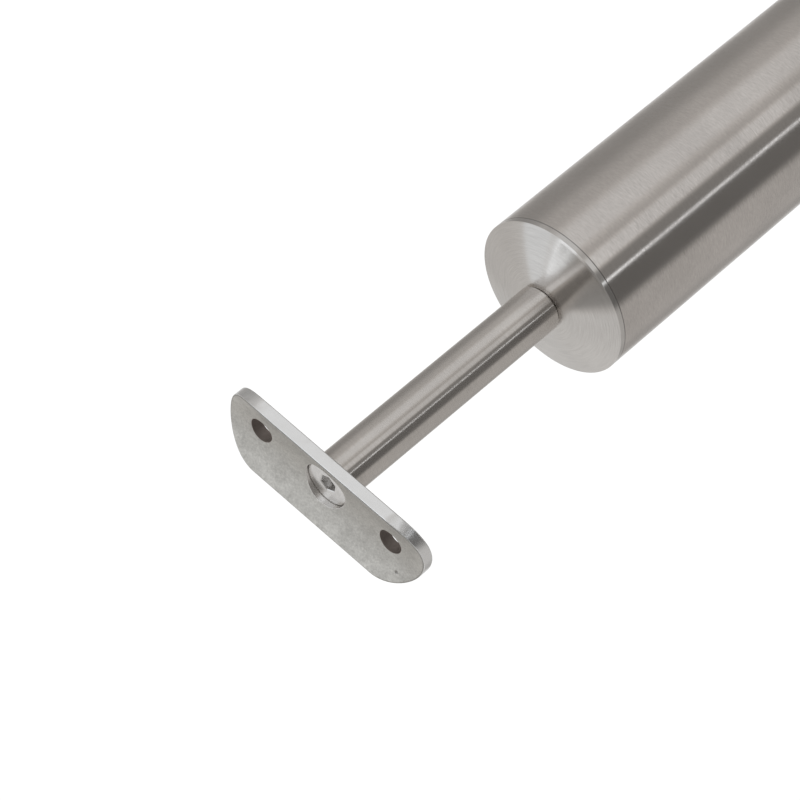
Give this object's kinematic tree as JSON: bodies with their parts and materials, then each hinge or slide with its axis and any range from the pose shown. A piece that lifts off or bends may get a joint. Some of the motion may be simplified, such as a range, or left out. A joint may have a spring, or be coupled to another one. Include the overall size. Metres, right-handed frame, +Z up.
{
  "type": "railing end post",
  "caption": "Round tube post with a domed end cap, a screwed spacer rod and a curved rail saddle held by a countersunk screw.",
  "frame": {"origin": "centre of the tube's sawn foot", "axes": "+Z up along the post, X along the handrail and the saddle's long side"},
  "size_m": [0.06, 0.0424, 0.9616],
  "materials": {
    "satin_tube": "satin ground round the tube",
    "turned_cap": "fine turned",
    "turned_rod": "fine turned",
    "pressed_saddle": "tumbled matt, edges ground bright",
    "screw_steel": "bright"
  },
  "bodies": {
    "post": {"post_tube": "satin_tube", "end_cap": "turned_cap"},
    "rod": {"spacer_rod": "turned_rod"},
    "saddle": {"saddle_plate": "pressed_saddle"},
    "screw": {"countersunk_screw": "screw_steel"}
  },
  "joints": [
    {"name": "rod_lift", "type": "slide", "parent": "post", "child": "rod", "axis": [0, 0, 1], "range_m": [0, 0.021]},
    {"name": "saddle_lift", "type": "slide", "parent": "rod", "child": "saddle", "axis": [0, 0, 1], "range_m": [0, 0.016]},
    {"name": "screw_lift", "type": "slide", "parent": "saddle", "child": "screw", "axis": [0, 0, 1], "range_m": [0, 0.03]}
  ]
}
